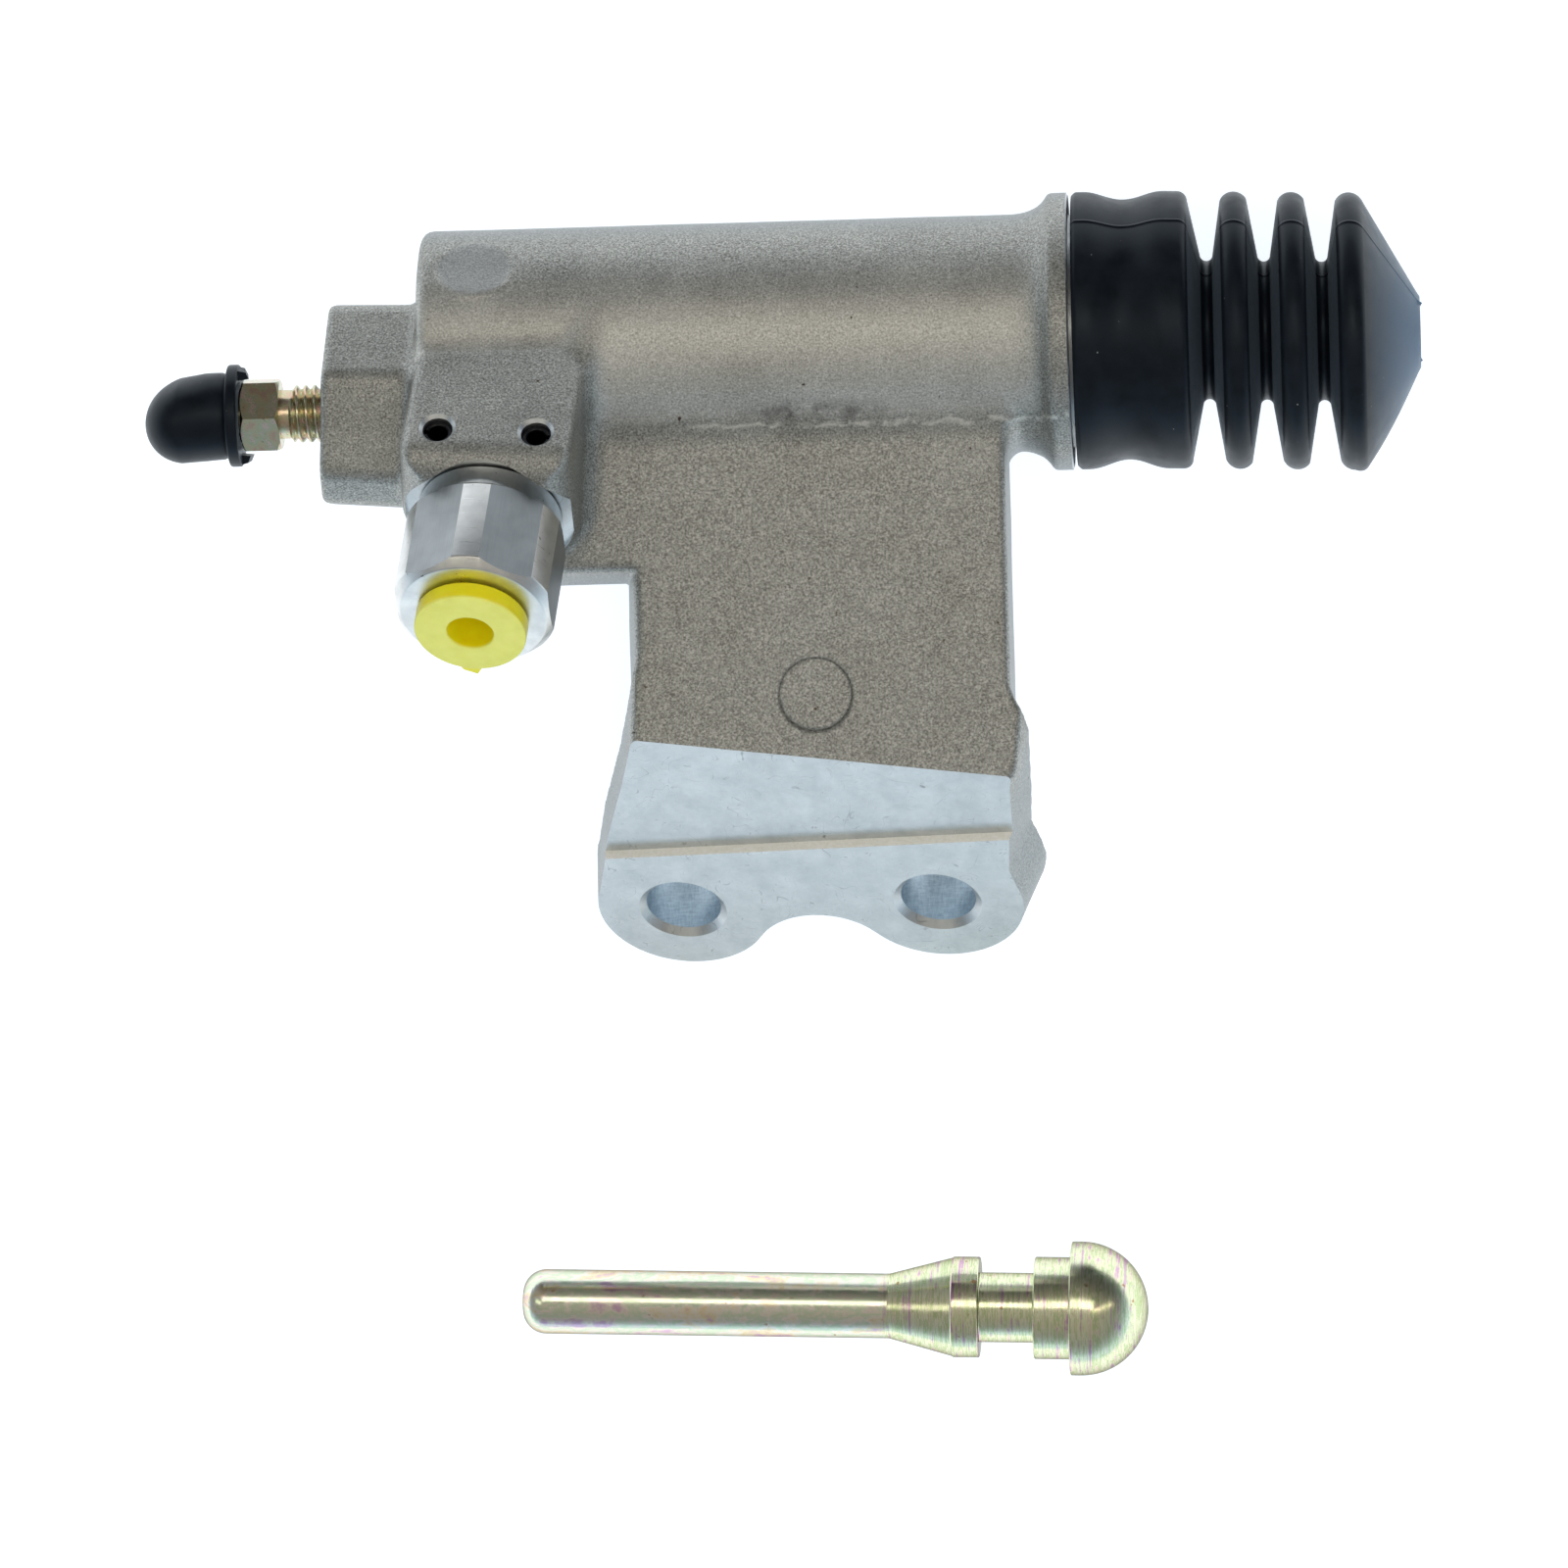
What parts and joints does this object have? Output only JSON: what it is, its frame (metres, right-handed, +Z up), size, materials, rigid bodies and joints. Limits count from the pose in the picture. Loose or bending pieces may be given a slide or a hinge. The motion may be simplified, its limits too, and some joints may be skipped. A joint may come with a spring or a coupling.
{
  "type": "clutch slave cylinder",
  "caption": "Hydraulic clutch slave cylinder with a cast body on a bolted lug, a bellows dust boot, a bleed screw, a plugged hose joint and a loose push rod.",
  "frame": {"origin": "middle of the whole outline seen from above, on the surface that the cylinder and its push rod lie on", "axes": "+Z up; +X along the bore toward the boot as nearly as the cylinder lies; +Y away from the viewer, from the push rod toward the barrel"},
  "size_m": [0.1762, 0.1698, 0.0598],
  "materials": {
    "cast_aluminium": "shot-blasted die casting, machined faces bright",
    "anodised_aluminium": "anodised, fine turned",
    "turned_aluminium": "turned bar, milled flats, satin",
    "yellow_zinc": "yellow passivated zinc, faint green and pink iridescence",
    "spring_steel": "plain drawn wire",
    "black_spring_steel": "black oxide",
    "black_rubber": "smooth moulded rubber, low sheen",
    "yellow_plastic": "translucent polyethylene"
  },
  "bodies": {
    "casting": {"cylinder_body": "cast_aluminium", "dust_boot": "black_rubber", "return_spring": "spring_steel", "roll_pin_left": "black_spring_steel", "roll_pin_right": "black_spring_steel", "push_rod": "yellow_zinc"},
    "piston_set": {"piston": "anodised_aluminium", "primary_cup": "black_rubber", "secondary_cup": "black_rubber"},
    "bleeder": {"bleed_screw": "yellow_zinc"},
    "bleeder_cap": {"bleed_cap": "black_rubber"},
    "hose_end": {"hose_joint": "turned_aluminium", "joint_o_ring": "black_rubber"},
    "plug": {"transit_plug": "yellow_plastic"}
  },
  "joints": [
    {"name": "piston_slide", "type": "slide", "parent": "casting", "child": "piston_set", "axis": [0.9994, 0.0062, 0.0334], "range_m": [-0.025, 0], "stiffness_N_per_m": 400, "deforming": ["return_spring"]},
    {"name": "bleeder_turn", "type": "hinge", "parent": "casting", "child": "bleeder", "pos_m": [-0.06229, 0.05734, 0.02278], "axis": [-0.9994, -0.0062, -0.0334], "range_deg": [0, 270]},
    {"name": "cap_pull", "type": "slide", "parent": "bleeder", "child": "bleeder_cap", "axis": [-0.9994, -0.0062, -0.0334], "range_m": [0, 0.012]},
    {"name": "joint_swivel", "type": "hinge", "parent": "casting", "child": "hose_end", "pos_m": [-0.03647, 0.06495, 0.01667], "axis": [-0.1168, -0.6538, 0.7476], "continuous": true},
    {"name": "plug_pull", "type": "slide", "parent": "hose_end", "child": "plug", "axis": [-0.1168, -0.6538, 0.7476], "range_m": [0, 0.012]}
  ]
}
